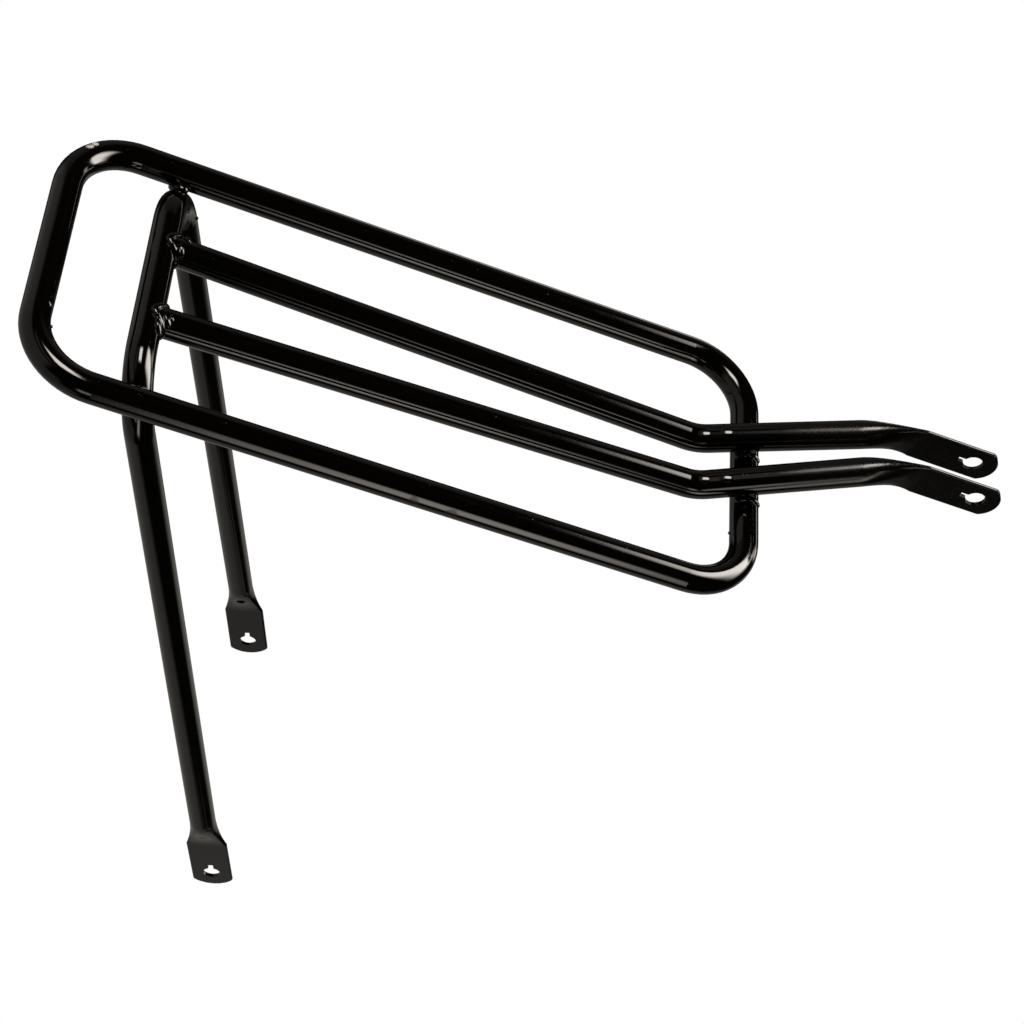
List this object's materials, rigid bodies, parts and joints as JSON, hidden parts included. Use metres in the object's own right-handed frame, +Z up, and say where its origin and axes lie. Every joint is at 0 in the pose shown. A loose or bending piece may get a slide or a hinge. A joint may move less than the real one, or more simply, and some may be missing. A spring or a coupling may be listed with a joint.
{
  "type": "bicycle luggage carrier",
  "caption": "Rigid welded tube carrier for the back of a bicycle: a rounded hoop with inner rails, legs to the wheel axle and stays to the seat cluster, all ending in flat keyhole tabs.",
  "frame": {"origin": "on the wheel axle's line, midway between the two leg tabs", "axes": "+X forward to the saddle, +Y to the rider's left along the axle, +Z up from the axle to the platform"},
  "size_m": [0.5293, 0.1948, 0.4987],
  "materials": {
    "gloss_paint": "gloss black paint on steel tube",
    "weld_paint": "gloss black paint on lumpy weld beads"
  },
  "bodies": {
    "root": {"outer_hoop": "gloss_paint", "leg_bow": "gloss_paint", "left_rail": "gloss_paint", "right_rail": "gloss_paint", "left_rail_rear_weld": "weld_paint", "right_rail_rear_weld": "weld_paint", "left_rail_front_weld": "weld_paint", "right_rail_front_weld": "weld_paint", "left_bow_weld": "weld_paint", "right_bow_weld": "weld_paint"}
  },
  "joints": []
}
